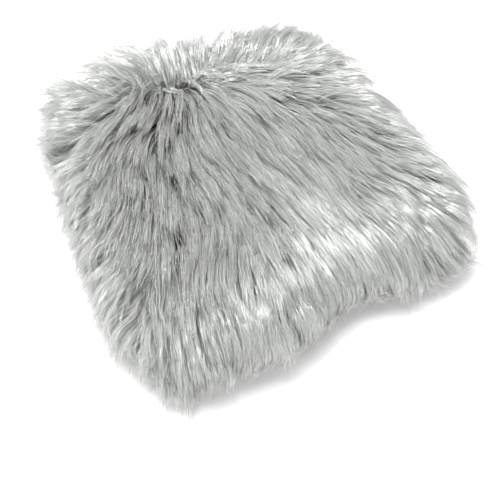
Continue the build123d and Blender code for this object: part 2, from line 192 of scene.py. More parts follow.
# ---- Fur: locks, tufts and strands ----
LOCK_LENGTHS = (0.8, 1.12)
LOCK_LIFTS = (0.3, 1.0)
LIFT_POWER = 0.35
HIGHEST_LOCK = 1.05
HIGHEST_TUFT = 1.12
TUFT_LENGTHS = (0.75, 1.05)
TUFT_LIFTS = (0.82, 1.05)
BACK_RIM = 0.03
NOSE_RIM = (4, 1.9)  # the rise and the start of the nose's rim, in half lengths
RIM_LIFT = 0.22
NOSE_LENGTH_GAIN = 0.15
BACK_LENGTH_GAIN = 0.22
CORNER_LENGTH_GAIN = 0.6
GATHERING = (0.1, 0.5)  # how far the tips of tufts are drawn to the line of their lock
GATHER_POWER = 1.4
STRAND_ENDS = (0.72, 1.0)
STRAND_END_POWER = 0.8
STRAND_SHARES = np.array([0.0, 0.1, 0.23, 0.37, 0.52, 0.68, 0.84, 1.0])
STRAND_RADIUS = 0.00018
STRAND_WIDTHS = (0.7, 1.25)
STRAND_TAPER = 3
TUFT_SPREAD = 0.0013
TUFT_FLATNESS = 0.5
TUFT_CLOSING = 0.55  # how much nearer a tuft's strands are at its tip
SWAY = 0.0008
SWAY_TURNS = (3, 9)
SWAY_PHASES = 6.3
SWAY_FLATNESS = 0.6
STRAY_SHARE = 0.05
STRAY_REACH = 0.006
STRAY_POWER = 1.5
MAX_STRANDS = 4500  # in one piece
COLOUR_COLUMNS = 256  # shades, each a column of the texture map
COLUMN_SPREAD = 0.3  # how much of its column a strand takes up, each way
MAP_MARGIN = 0.02  # left free at the root and the tip
NOSE_OVERLAP = 0.003  # how far the side panels' pile comes over the nose's
TUBE_SIDES = 3
WAVE_SETS = ((0.075, 0.06, 5), (0.028, 0.035, 7), (0.011, 0.025, 9))  # length, angle, number
WAVES = [
    (direction / length * 2 * math.pi, phase, angle)
    for length, angle, number in WAVE_SETS
    for direction, phase in zip(unit(rng.normal(size=(number, 3))), rng.random(number) * 2 * math.pi)
]


# ---- Planting ----
def outer_faces(triangles):
    """The triangles that nothing lies in front of."""
    tree = tree_of(triangles)
    ray_start = 1e-4
    free = [
        tree.ray_cast(Vector(centre + normal * ray_start), Vector(normal))[0] is None
        for centre, normal in zip(triangles.mean(axis=1), normals_of(triangles))
    ]
    return triangles[np.array(free)]


def faces_against(triangles, others):
    """The triangles that lie face to face with the other ones."""
    tree = tree_of(others)
    farthest, most_opposed = 5e-4, -0.7
    kept = []
    for centre, normal in zip(triangles.mean(axis=1), normals_of(triangles)):
        _, facing, _, distance = tree.find_nearest(Vector(centre))
        kept.append(distance < farthest and facing.dot(Vector(normal)) < most_opposed)
    return triangles[np.array(kept)]


def scatter(triangles, count):
    """Random points on the triangles, denser at the sides and the back, and the normals there."""
    normals = normals_of(triangles)
    sides = np.cross(triangles[:, 1] - triangles[:, 0], triangles[:, 2] - triangles[:, 0])
    from_zip = (triangles.mean(axis=1) - ZIP_POINT) @ ZIP_OUT
    weights = np.linalg.norm(sides, axis=1) / 2
    weights = weights * np.where(normals[:, 2] < -LEVEL_ENOUGH, UNDER_SHARE, 1.0)
    weights = weights * np.where(np.abs(normals[:, 2]) < LEVEL_ENOUGH, SIDE_SHARE, 1.0)
    weights = weights * np.where(from_zip > -BACK_STRIP, BACK_SHARE, 1.0)
    chosen = rng.choice(len(triangles), count, p=weights / weights.sum())
    first = rng.random(count)
    second = rng.random(count)
    over = first + second > 1
    first[over] = 1 - first[over]
    second[over] = 1 - second[over]
    corner = triangles[chosen]
    points = corner[:, 0] + first[:, None] * (corner[:, 1] - corner[:, 0])
    points += second[:, None] * (corner[:, 2] - corner[:, 0])
    return points, normals[chosen]


knit_triangles = np.concatenate([polygons_of(node) for node in KNIT_NODES])
pile_triangles = np.concatenate([polygons_of(node) for node in PILE_NODES])
root_triangles = faces_against(knit_triangles, pile_triangles)
knit_tree = tree_of(root_triangles)
surface_tree = tree_of(outer_faces(pile_triangles))


# ---- Combing ----
def swirl(points):
    """A smooth random angle in radians at each point, so that neighbouring locks turn together."""
    angle = np.zeros(len(points))
    for wave, phase, most in WAVES:
        angle += most * np.sin(points @ wave + phase)
    return angle


def in_corner(points):
    """How far into the back corner of the nose end each point is, from 0 to CORNER_MOST."""
    return np.clip(points[:, 1] / HALF_Y - points[:, 0] / HALF_X - CORNER_START, 0, CORNER_MOST)


def pull_of_edges(points, flow, parting):
    """Turns the flow out over the mouth, the zip's edge, the nose and the back corner."""
    from_mouth = (points - MOUTH_POINT) @ MOUTH_OUT
    near_mouth = np.clip(1 + from_mouth / MOUTH_BAND, 0, 1)[:, None]
    flow += MOUTH_PULL * near_mouth * MOUTH_OUT
    behind = np.clip(((points - ZIP_POINT) @ ZIP_OUT + parting) / PARTING_BAND, 0, 1)[:, None]
    sideways = np.clip((points[:, 0] - CROWN[0]) / FAN_BAND, -1, 1)[:, None]
    flow += behind * (BACK_PULL * ZIP_OUT - FAN_PULL * sideways * ZIP_AXIS - flow)
    flow[:, 0] -= NOSE_PULL * np.maximum(-points[:, 0] / HALF_X, 0) ** NOSE_PULL_POWER
    flow += CORNER_PULL * in_corner(points)[:, None] * CORNER_OUT
    return flow


def combed(points, outwards, parting):
    """The direction that the pile lies in at each point: away from the crown, then down."""
    flow = np.zeros_like(points)
    away = points[:, :2] - CROWN
    distance = np.linalg.norm(away, axis=1, keepdims=True)
    flow[:, :2] = away / np.maximum(distance, CROWN_RADIUS)
    flow[:, 1] -= FORWARD_PULL + FORWARD_GAIN * np.maximum(distance[:, 0] - FORWARD_START, 0)
    flow = pull_of_edges(points, flow, parting)
    steepness = np.clip(1 - outwards[:, 2], 0, 1)
    flow[:, 2] -= (GRAVITY - CORNER_LIGHTNESS * in_corner(points)) * steepness
    beneath = outwards[:, 2] < UNDERSIDE
    flow[beneath] = unit(points[beneath] * [1, 1, 0])
    flow = unit(flow - outwards * (flow * outwards).sum(axis=1, keepdims=True))
    angle = swirl(points)[:, None]
    return flow * np.cos(angle) + np.cross(outwards, flow) * np.sin(angle)


def out_of_channel(points, side):
    """Moves points up or down out of the zip's channel."""
    from_zip = points - ZIP_POINT
    along = -(from_zip @ ZIP_AXIS)
    beyond = from_zip @ ZIP_OUT
    in_channel = (along > ZIP_LOW) & (along < ZIP_HIGH) & (beyond > ZIP_BACK)
    near_end = np.minimum(along - ZIP_LOW, ZIP_HIGH - along) / CHANNEL_TAPER
    half = CHANNEL_HALF * np.clip(near_end, 0, 1) ** 0.5
    rise = (points[:, 2] - SEAM_Z) * side
    moved = points.copy()
    moved[:, 2] = np.where(in_channel & (rise < half), SEAM_Z + side * half, points[:, 2])
    return moved


def out_of_mouth(points):
    """Moves points that are in front of the mouth out to its rim."""
    from_mouth = points - MOUTH_POINT
    beyond = from_mouth @ MOUTH_OUT
    across = from_mouth @ MOUTH_ACROSS / MOUTH_HALF_WIDTH
    rise = from_mouth[:, 2] / MOUTH_HALF_HEIGHT
    reach = (np.abs(across) ** MOUTH_POWER + np.abs(rise) ** MOUTH_POWER) ** (1 / MOUTH_POWER)
    push = np.where((beyond > 0) & (reach < 1), 1 / np.maximum(reach, LEAST_REACH), 1.0)
    moved = points + MOUTH_ACROSS * ((push - 1) * across * MOUTH_HALF_WIDTH)[:, None]
    moved[:, 2] += (push - 1) * rise * MOUTH_HALF_HEIGHT
    return moved


def keep_clear(points, side):
    """Moves points out of the zip's channel, out of the mouth, in from the back and off the floor.

    side is 1 for pile rooted above the seam and -1 below it."""
    moved = out_of_mouth(out_of_channel(points, side))
    moved[:, 1] = np.minimum(moved[:, 1], HALF_Y + MOST_PAST_BACK)
    moved[:, 2] = np.maximum(moved[:, 2], FLOOR_GAP)
    return moved


# ---- Growing ----
def side_of(roots):
    return np.where(roots[:, 2] >= SEAM_Z, 1.0, -1.0)


def surroundings(place, side):
    """At each point: the outward direction, how high in the pile it is, and how deep the pile is."""
    on_knit, facing, from_knit = nearest(knit_tree, place)
    _, _, from_surface = nearest(surface_tree, place)
    clear_of_knit = (from_knit > KNIT_CONTACT)[:, None]
    outwards = unit(np.where(clear_of_knit, unit(place - on_knit), facing))
    depth = from_knit + from_surface
    level = from_knit / np.maximum(depth, SMALLEST_ROOM)
    raised = UPRIGHT_SHARE * np.clip(1 - level, 0, 1) * (side > 0)
    return unit(outwards + raised[:, None] * UP), level, depth


def climb_of(place, outwards, missing, step_length):
    """The slope at which each line climbs or dives, given the height that it still misses."""
    steepest = STEEPEST_CLIMB + SIDE_CLIMB * np.clip(1 - np.abs(outwards[:, 2]), 0, 1)
    climb = np.clip(missing / step_length, STEEPEST_DIVE, steepest)
    hanging = (place[:, 2] < SEAM_Z) & (outwards[:, 2] > HANG_LIMIT)
    return np.where(hanging & (climb < 0), climb * HANG_SHARE, climb)


def grow(roots, normals, lengths, lifts):
    """Grows one guide line from each root, combed along the jacket under the pile's outer surface.

    Returns the lines' points and their outward directions, each (count, GROW_STEPS + 1, 3)."""
    side = side_of(roots)
    place = roots.copy()
    places = [place]
    outs = [normals]
    step_length = lengths / GROW_STEPS
    parting = PARTING + rng.normal(0, PARTING_SPREAD, len(roots))
    for step in range(1, GROW_STEPS + 1):
        outwards, level, depth = surroundings(place, side)
        wanted = lifts * (1 - (1 - step / GROW_STEPS) ** RISE_POWER)
        climb = climb_of(place, outwards, (wanted - level) * depth, step_length)
        heading = unit(combed(place, outwards, parting) + outwards * climb[:, None])
        place = keep_clear(place + heading * step_length[:, None], side)
        places.append(place)
        outs.append(outwards)
    return np.stack(places, axis=1), np.stack(outs, axis=1)


def owners_of(roots, locks):
    """The nearest lock's number for each root."""
    tree = KDTree(len(locks))
    for index, lock in enumerate(locks):
        tree.insert(roots[lock], index)
    tree.balance()
    return np.array([tree.find(root)[1] for root in roots.tolist()])


def grow_tufts(roots, normals):
    """Each tuft's guide line, drawn part of the way to its lock's, and its outward directions."""
    locks = rng.choice(TUFT_COUNT, LOCK_COUNT, replace=False)
    owner = owners_of(roots, locks)
    lock_length = PILE_LENGTH * rng.uniform(*LOCK_LENGTHS, LOCK_COUNT)
    lock_lift = HIGHEST_LOCK * rng.uniform(*LOCK_LIFTS, LOCK_COUNT) ** LIFT_POWER
    lock_lines, _ = grow(roots[locks], normals[locks], lock_length, lock_lift)
    length = lock_length[owner] * rng.uniform(*TUFT_LENGTHS, TUFT_COUNT)
    lift = lock_lift[owner] * rng.uniform(*TUFT_LIFTS, TUFT_COUNT)
    back_rim = np.clip((roots - ZIP_POINT) @ ZIP_OUT / BACK_RIM + 1, 0, 1)
    nose_rim = np.clip(-roots[:, 0] / HALF_X * NOSE_RIM[0] - NOSE_RIM[1], 0, 1)
    lift = np.minimum(lift * (1 + RIM_LIFT * np.maximum(back_rim, nose_rim)), HIGHEST_TUFT)
    gain = NOSE_LENGTH_GAIN * nose_rim + BACK_LENGTH_GAIN * back_rim
    lines, outs = grow(roots, normals, length * (1 + gain + CORNER_LENGTH_GAIN * in_corner(roots)), lift)
    share = np.linspace(0, 1, GROW_STEPS + 1)
    gather = rng.uniform(*GATHERING, LOCK_COUNT)[owner][:, None] * share**GATHER_POWER
    return lines + (lock_lines[owner] - lines) * gather[..., None], outs


def sample(lines, shares):
    """Points on lines of GROW_STEPS steps, at a share of the length for each line and place."""
    position = np.clip(shares, 0, 1) * GROW_STEPS
    low = np.minimum(position.astype(int), GROW_STEPS - 1)
    part = (position - low)[..., None]
    row = np.arange(len(lines))[:, None]
    return lines[row, low] * (1 - part) + lines[row, low + 1] * part


def spread_strands(centre, shares):
    """How far each strand's points are from its tuft's line, sideways and outwards."""
    count = len(centre)
    closing = 1 - TUFT_CLOSING * shares
    sideways, upwards, _ = rng.normal(0, TUFT_SPREAD, (3, count, 1))
    height = rng.uniform(0.0, SWAY, (count, 1))
    turns = rng.uniform(*SWAY_TURNS, (count, 1))
    sway = height * np.sin(shares * turns + rng.uniform(0, SWAY_PHASES, (count, 1)))
    is_stray = rng.random((count, 1)) < STRAY_SHARE
    stray = is_stray * rng.normal(0, STRAY_REACH, (count, 1)) * shares**STRAY_POWER
    across = sideways * closing + sway * shares + stray
    upward = upwards * TUFT_FLATNESS * closing + sway[:, ::-1] * SWAY_FLATNESS * shares
    return across[..., None], upward[..., None]


def plant(triangles):
    """Every strand's points, their outward directions and the strand's root."""
    roots, normals = scatter(triangles, TUFT_COUNT)
    roots = roots - normals * ROOT_DEPTH
    lines, outs = grow_tufts(roots, normals)
    tuft = np.repeat(np.arange(TUFT_COUNT), STRANDS_PER_TUFT)
    ends = rng.uniform(*STRAND_ENDS, len(tuft)) ** STRAND_END_POWER
    shares = ends[:, None] * STRAND_SHARES
    centre = sample(lines[tuft], shares)
    outwards = unit(sample(outs[tuft], shares))
    forwards = unit(np.gradient(centre, axis=1))
    sideways, upwards = spread_strands(centre, shares)
    points = centre + unit(np.cross(forwards, outwards)) * sideways + outwards * upwards
    side = np.repeat(side_of(roots[tuft]), points.shape[1])
    points = keep_clear(points.reshape(-1, 3), side).reshape(points.shape)
    return points, outwards, roots[tuft]


# ---- The strands' meshes ----
def tube_corners(points, outwards):
    """The corners of each strand's rings, root to tip, and then its tip."""
    count = len(points)
    rings = points.shape[1] - 1
    forwards = unit(np.gradient(points, axis=1))
    across = unit(np.cross(forwards, outwards))
    upwards = np.cross(across, forwards)
    taper = 1 - np.linspace(0, 1, rings + 1)[:rings] ** STRAND_TAPER
    radius = STRAND_RADIUS * taper * rng.uniform(*STRAND_WIDTHS, (count, 1))
    turn = (2 * math.pi / TUBE_SIDES * np.arange(TUBE_SIDES) + math.pi / 2)[:, None]
    around = across[:, :rings, None] * np.cos(turn) + upwards[:, :rings, None] * np.sin(turn)
    ring_points = points[:, :rings, None] + around * radius[..., None, None]
    return np.concatenate([ring_points.reshape(count, -1, 3), points[:, -1:]], axis=1)


def tube_faces(rings):
    """One closed tube's corner numbers, face after face, and how many corners each face has."""
    ring, edge = np.meshgrid(np.arange(rings - 1) * TUBE_SIDES, np.arange(TUBE_SIDES), indexing="ij")
    after = (edge + 1) % TUBE_SIDES
    following = ring + TUBE_SIDES
    quads = np.stack([ring + edge, ring + after, following + after, following + edge], axis=-1)
    last = (rings - 1) * TUBE_SIDES
    tips = [[last + k, last + (k + 1) % TUBE_SIDES, last + TUBE_SIDES] for k in range(TUBE_SIDES)]
    base = np.arange(TUBE_SIDES)[::-1]
    sizes = [4] * ((rings - 1) * TUBE_SIDES) + [3] * TUBE_SIDES + [TUBE_SIDES]
    return np.concatenate([quads.ravel(), np.ravel(tips), base]), np.array(sizes)


def strand_texture(column, rings):
    """Each corner's place on the texture map: its strand's column, and its share of the length."""
    share = np.linspace(0, 1, rings + 1)[:rings]
    height = np.append(np.repeat(share, TUBE_SIDES), 1.0)
    sideways = np.append(np.tile([-COLUMN_SPREAD, 0.0, COLUMN_SPREAD], rings), 0.0)
    texture = np.empty((len(column), len(height), 2), np.float32)
    texture[..., 0] = (column[:, None] + 0.5 + sideways) / COLOUR_COLUMNS
    texture[..., 1] = MAP_MARGIN + (1 - 2 * MAP_MARGIN) * height
    return texture.reshape(-1, 2)


def strand_mesh(name, points, outwards, column):
    """One mesh of closed three-sided tapering tubes, one for each strand."""
    rings = points.shape[1] - 1
    corners = tube_corners(points, outwards)
    loops, sizes = tube_faces(rings)
    first_corners = np.arange(len(points))[:, None] * corners.shape[1]
    all_loops = (loops + first_corners).ravel().astype(np.int32)
    starts = np.concatenate([[0], np.cumsum(np.tile(sizes, len(points)))[:-1]]).astype(np.int32)
    mesh = bpy.data.meshes.new(name)
    mesh.vertices.add(corners.shape[0] * corners.shape[1])
    mesh.vertices.foreach_set("co", corners.astype(np.float32).ravel())
    mesh.loops.add(len(all_loops))
    mesh.loops.foreach_set("vertex_index", all_loops)
    mesh.polygons.add(len(starts))
    mesh.polygons.foreach_set("loop_start", starts)
    mesh.update(calc_edges=True)
    mesh.shade_smooth()
    layer = mesh.uv_layers.new(name="OFBake")
    layer.uv.foreach_set("vector", strand_texture(column, rings)[all_loops].ravel())
    return mesh


# ---- Material helpers ----
def new_material(name):
    """A material with its node tree and its shader."""
    material = bpy.data.materials.new(f"{name}_look")
    material.use_nodes = True
    tree = material.node_tree
    return material, tree, tree.nodes["Principled BSDF"]


def mapped(tree, turn=0.0):
    """Object coordinates, turned about Z, in the frame's metres."""
    coordinates = tree.nodes.new("ShaderNodeTexCoord")
    mapping = tree.nodes.new("ShaderNodeMapping")
    mapping.inputs["Rotation"].default_value = (0, 0, turn)
    tree.links.new(coordinates.outputs["Object"], mapping.inputs["Vector"])
    return mapping.outputs["Vector"]


def bands(tree, vector, direction, pitch):
    """Smooth ridges across a direction, one for each pitch in metres."""
    wave = tree.nodes.new("ShaderNodeTexWave")
    wave.bands_direction = direction
    wave.inputs["Scale"].default_value = math.pi / (10 * pitch)
    tree.links.new(vector, wave.inputs["Vector"])
    return wave.outputs["Fac"]


def noise(tree, vector, size, detail=3):
    texture = tree.nodes.new("ShaderNodeTexNoise")
    texture.inputs["Scale"].default_value = 1 / size
    texture.inputs["Detail"].default_value = detail
    tree.links.new(vector, texture.inputs["Vector"])
    return texture.outputs["Fac"]


def combine(tree, operation, first, second=0.0):
    """A maths node on two values, each a number or another node's output."""
    node = tree.nodes.new("ShaderNodeMath")
    node.operation = operation
    for socket, value in zip(node.inputs, (first, second)):
        if isinstance(value, (int, float)):
            socket.default_value = value
        else:
            tree.links.new(value, socket)
    return node.outputs[0]


def ramp(tree, factor, low, high, end=1.0):
    """A colour that goes from low to high as the factor goes from 0 to end."""
    node = tree.nodes.new("ShaderNodeValToRGB")
    first, last = node.color_ramp.elements
    first.color = (*low, 1)
    last.color = (*high, 1)
    last.position = end
    tree.links.new(factor, node.inputs["Fac"])
    return node.outputs["Color"]


def bumped(tree, shader, height, distance):
    bump = tree.nodes.new("ShaderNodeBump")
    bump.inputs["Distance"].default_value = distance
    tree.links.new(height, bump.inputs["Height"])
    tree.links.new(bump.outputs["Normal"], shader.inputs["Normal"])


# ---- Fur material and pieces ----
def fur_material():
    """Silver-grey pile: each strand has its own tone at random, with painted shade that darkens it towards its
    root, deep in the pile, and leaves its tip paler.
    """
    material, tree, shader = new_material("silver_fur")
    uv = tree.nodes.new("ShaderNodeUVMap")
    uv.uv_map = "OFBake"
    split = tree.nodes.new("ShaderNodeSeparateXYZ")
    tree.links.new(uv.outputs["UV"], split.inputs[0])
    column = combine(tree, "FLOOR", combine(tree, "MULTIPLY", split.outputs["X"], COLOUR_COLUMNS))
    random = tree.nodes.new("ShaderNodeTexWhiteNoise")
    random.noise_dimensions = "1D"
    tree.links.new(column, random.inputs["W"])
    shade = ramp(tree, random.outputs["Value"], low=(0.54, 0.56, 0.54), high=(0.93, 0.94, 0.915))
    # painted shade: each strand's colour is darkened towards its root, where the pile shades itself
    depth = ramp(tree, split.outputs["Y"], low=(0.62, 0.62, 0.60), high=(1, 1, 1), end=0.35)
    mix = tree.nodes.new("ShaderNodeMix")
    mix.data_type = "RGBA"
    mix.blend_type = "MULTIPLY"
    mix.inputs["Factor"].default_value = 1
    tree.links.new(shade, mix.inputs["A"])
    tree.links.new(depth, mix.inputs["B"])
    tree.links.new(mix.outputs["Result"], shader.inputs["Base Color"])
    shader.inputs["Roughness"].default_value = 0.26
    shader.inputs["Metallic"].default_value = 0.35
    shader.inputs["Specular IOR Level"].default_value = 1.0
    shader.inputs["IOR"].default_value = 1.7
    shader.inputs["Coat Weight"].default_value = 1.0
    shader.inputs["Coat Roughness"].default_value = 0.22
    return material


def link_piece(piece):
    bpy.context.scene.collection.objects.link(piece)
    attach(piece, "jacket")


def add_fur():
    """The pile of each panel, in pieces of a limited number of strands."""
    material = fur_material()
    points, outwards, roots = plant(root_triangles)
    nose_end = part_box("nose_fur_pile")[1].x - NOSE_OVERLAP
    panel = np.where(roots[:, 0] < nose_end, 0, np.where(roots[:, 2] >= SEAM_Z, 1, 2))
    column = rng.integers(0, COLOUR_COLUMNS, len(points))
    for number, name in enumerate(("nose", "upper", "lower")):
        members = np.flatnonzero(panel == number)
        groups = np.array_split(members, math.ceil(len(members) / MAX_STRANDS))
        for index, group in enumerate(groups):
            title = f"{name}_pile_strands_{index + 1}"
            mesh = strand_mesh(title, points[group], outwards[group], column[group])
            mesh.materials.append(material)
            piece = bpy.data.objects.new(title, mesh)
            link_piece(piece)
            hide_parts(f"{name}_fur_pile")


add_fur()

# ---- Fabric pieces: denser copies of the CAD shapes, with pleats, waves and weave ----
REFINE_ROUNDS = 7  # the most times that a copy's long edges are cut
CREASE_ANGLE = math.radians(55)
WAVE_COUNT = 6
PLEAT_PITCH = 0.0052
PLEAT_HEIGHT = 0.00065
THREAD_RADIUS = 0.00022
THREAD_SIDES = 6
STITCH_PITCH = 0.0034
STITCH_LENGTH = 0.0026
STITCH_SHARES = np.array([0, 0.2, 0.5, 0.8, 1])
STITCH_RISES = (-0.5, 0.35, 0.6, 0.35, -0.5)  # above the cloth, in thread radii
STITCH_SIZES = (0.6, 1, 1.1, 1, 0.6)
WIDEST_GAP = 0.004  # a line of stitches is broken where two of its points are farther apart
HEM_SEAMS = (0.0022, 0.0102)  # how far behind the mouth the hem is sewn


def dense_copy(node, longest_edge):
    """A welded copy of a CAD node's mesh, cut finer until hardly an edge is longer than given."""
    mesh = bmesh.new()
    mesh.from_mesh(nodes[node].data)
    bmesh.ops.remove_doubles(mesh, verts=mesh.verts, dist=1e-6)
    for _ in range(REFINE_ROUNDS):
        long_edges = [edge for edge in mesh.edges if edge.calc_length() > longest_edge]
        bmesh.ops.subdivide_edges(mesh, edges=long_edges, cuts=1)
        bmesh.ops.triangulate(mesh, faces=[face for face in mesh.faces if len(face.verts) > 3])
    return mesh


def piece_from(mesh, name, material):
    """Turns a bmesh into a smooth piece that rides on the jacket."""
    data = bpy.data.meshes.new(name)
    mesh.to_mesh(data)
    mesh.free()
    data.shade_smooth()
    data.materials.clear()
    data.materials.append(material)
    piece = bpy.data.objects.new(name, data)
    link_piece(piece)
    return piece


def soft_piece(node, name, material, longest_edge, smoothing=0, shape=None):
    """A fabric piece that stands for a CAD node. shape moves its points, given their normals."""
    mesh = dense_copy(node, longest_edge)
    axes = {"use_axis_x": True, "use_axis_y": True, "use_axis_z": True}
    for _ in range(smoothing):
        bmesh.ops.smooth_vert(mesh, verts=mesh.verts, factor=0.5, **axes)
    mesh.normal_update()
    if shape is not None:
        places = np.array([vert.co[:] for vert in mesh.verts])
        facing = np.array([vert.normal[:] for vert in mesh.verts])
        for vert, place in zip(mesh.verts, shape(places, facing)):
            vert.co = place
    piece = piece_from(mesh, name, material)
    piece.data.set_sharp_from_angle(angle=CREASE_ANGLE)
    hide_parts(node)
    return piece


def waves_of(height, length):
    """A shape function that raises soft random waves of this height and length along the normals."""
    directions = unit(rng.normal(size=(WAVE_COUNT, 3))) * 2 * math.pi / length
    phases = rng.uniform(0, 2 * math.pi, WAVE_COUNT)

    def shape(places, facing):
        rise = np.sin(places @ directions.T + phases).sum(axis=1) * height / 3
        return places + facing * rise[:, None]

    return shape


def round_mouth(places):
    """Each point's distance round the mouth, as a length along an oval of the hem's size."""
    from_mouth = places - MOUTH_POINT
    across = from_mouth @ MOUTH_ACROSS / MOUTH_HALF_WIDTH
    turn = np.arctan2(from_mouth[:, 2] / MOUTH_HALF_HEIGHT, across)
    samples = np.linspace(-math.pi, math.pi, 721)
    speed = np.hypot(MOUTH_HALF_WIDTH * np.sin(samples), MOUTH_HALF_HEIGHT * np.cos(samples))
    lengths = np.cumsum(speed) * (samples[1] - samples[0])
    return np.interp(turn, samples, lengths)


def pleats(places, facing):
    """Gathers the hem into uneven pleats, pushed in and out across its wall."""
    around = round_mouth(places)
    uneven = 0.0011 * np.sin(around / 0.0173) + 0.0008 * np.sin(around / 0.0071 + 1.3)
    height = PLEAT_HEIGHT * (1 + 0.5 * np.sin(around / 0.0212 + 0.7))
    rise = height * np.sin(2 * math.pi * (around + uneven) / PLEAT_PITCH)
    sideways = facing - MOUTH_OUT * (facing @ MOUTH_OUT)[:, None]
    from_mouth = places - MOUTH_POINT
    outward = unit(MOUTH_ACROSS * (from_mouth @ MOUTH_ACROSS)[:, None] * 0.25 + from_mouth * UP)
    inner = np.sign((sideways * outward).sum(axis=1))
    return places + sideways * (rise * inner)[:, None]


def add_stitch(mesh, centre, up):
    """One short raised thread along its centre's points, with its ends sunk in the cloth."""
    forward = unit(centre[-1] - centre[0])
    side = unit(np.cross(forward, up))
    up = np.cross(side, forward)
    turn = np.linspace(0, 2 * math.pi, THREAD_SIDES + 1)[:-1]
    around = np.outer(np.cos(turn), side) + np.outer(np.sin(turn), up)
    rings = []
    for place, rise, size in zip(centre, STITCH_RISES, STITCH_SIZES):
        ring = place + up * rise * THREAD_RADIUS + around * THREAD_RADIUS * size
        rings.append([mesh.verts.new(point) for point in ring])
    for low, high in zip(rings, rings[1:]):
        for k in range(THREAD_SIDES):
            after = (k + 1) % THREAD_SIDES
            mesh.faces.new((low[k], low[after], high[after], high[k]))
    mesh.faces.new(rings[0][::-1])
    mesh.faces.new(rings[-1])


def stitches(name, line, lift):
    """A row of stitches along a line of points, broken where the line jumps."""
    steps = np.linalg.norm(np.diff(line, axis=0), axis=1)
    along = np.concatenate([[0], np.cumsum(steps)])
    mesh = bmesh.new()
    for start in np.arange(STITCH_PITCH / 2, along[-1] - STITCH_LENGTH, STITCH_PITCH):
        shares = start + STITCH_SHARES * STITCH_LENGTH
        first, last = np.searchsorted(along, [shares[0], shares[-1]])
        if steps[max(first - 1, 0):last].max(initial=0) > WIDEST_GAP:
            continue
        centre = np.stack([np.interp(shares, along, line[:, axis]) for axis in range(3)], axis=1)
        middle = shares[len(shares) // 2]
        up = np.array([np.interp(middle, along, lift[:, axis]) for axis in range(3)])
        add_stitch(mesh, centre, up)
    return piece_from(mesh, name, thread)


def hem_ring(tree, depth, inside):
    """The line round the hem's outer or inner face at a depth behind the mouth, with its normals."""
    centre = MOUTH_POINT - MOUTH_OUT * depth
    line, lift = [], []
    for turn in np.linspace(0, 2 * math.pi, 900):
        ray = MOUTH_ACROSS * math.cos(turn) + UP * math.sin(turn)
        start = centre if inside else centre + ray * HALF_X
        place, normal, _, _ = tree.ray_cast(Vector(start), Vector(ray if inside else -ray))
        if place is not None:
            line.append(place[:])
            lift.append(normal[:])
    return np.array(line), np.array(lift)


def add_hem():
    hem = soft_piece("mouth_hem_casing", "mouth_hem", hem_cloth, 0.0013, smoothing=3, shape=pleats)
    corners = [vert.co for vert in hem.data.vertices]
    tree = BVHTree.FromPolygons(corners, [face.vertices for face in hem.data.polygons])
    for depth in HEM_SEAMS:
        for inside in (False, True):
            line, lift = hem_ring(tree, depth, inside)
            face = "inner" if inside else "outer"
            stitches(f"hem_stitches_{face}_{round(depth * 1e4)}", line, lift)


def add_zip_stitches():
    """A row of stitches along each tape, a little over a third of the way up it."""
    rise = tape_rise.min() + 0.42 * (tape_rise.max() - tape_rise.min())
    along = np.linspace(tape_along.min() + 0.002, tape_along.max() - 0.002, 60)
    for side, name in ((1, "upper"), (-1, "lower")):
        line = ZIP_POINT - np.outer(along, ZIP_AXIS) + ZIP_OUT * tape_beyond.max() + UP * side * rise
        stitches(f"zip_stitches_{name}", line, np.tile(ZIP_OUT, (len(line), 1)))


def add_fabrics():
    panels = [
        soft_piece(node, node.replace("_backing", ""), knit_cloth, 0.004, shape=waves_of(0.0003, 0.02))
        for node in KNIT_NODES
    ]
    add_hem()
    soft_piece("mouth_elastic", "elastic_band", elastic_cloth, 0.003)
    for node, name in (("nose_seam_binding", "nose_binding"), ("side_seam_binding", "side_binding")):
        soft_piece(node, name, binding_cloth, 0.003, shape=waves_of(0.0003, 0.012))
    label_waves = waves_of(0.00015, 0.016)
    label = soft_piece("blank_label", "plain_label", label_cloth, 0.0015, smoothing=1, shape=label_waves)
    for node, name in (("zip_tape_upper", "zip_tape_top"), ("zip_tape_lower", "zip_tape_bottom")):
        soft_piece(node, name, tape_cloth, 0.0020, shape=waves_of(0.0001, 0.015))
    flap = soft_piece("zip_wind_flap", "wind_flap", tape_cloth, 0.003, shape=waves_of(0.0004, 0.02))
    add_zip_stitches()


# ---- Fabric materials ----
def woven_material(name, tones, directions, pitch, depth, roughness, turn=0.0):
    """A weave of two crossing sets of threads, with uneven dye and a little fuzz.

    tones are the grey or tinted colours of its valleys and of its ridges."""
    material, tree, shader = new_material(name)
    vector = mapped(tree, turn)
    warp = bands(tree, vector, directions[0], pitch)
    weft = bands(tree, vector, directions[1], pitch * 1.3)
    weave = combine(tree, "MAXIMUM", warp, weft)
    uneven = combine(tree, "ADD", combine(tree, "MULTIPLY", weave, 0.6), noise(tree, vector, 0.006))
    colour = ramp(tree, combine(tree, "SUBTRACT", uneven, 0.3), *tones)
    tree.links.new(colour, shader.inputs["Base Color"])
    bumped(tree, shader, combine(tree, "ADD", weave, noise(tree, vector, 0.0015)), depth)
    shader.inputs["Roughness"].default_value = roughness
    shader.inputs["Sheen Weight"].default_value = 0.3
    return material


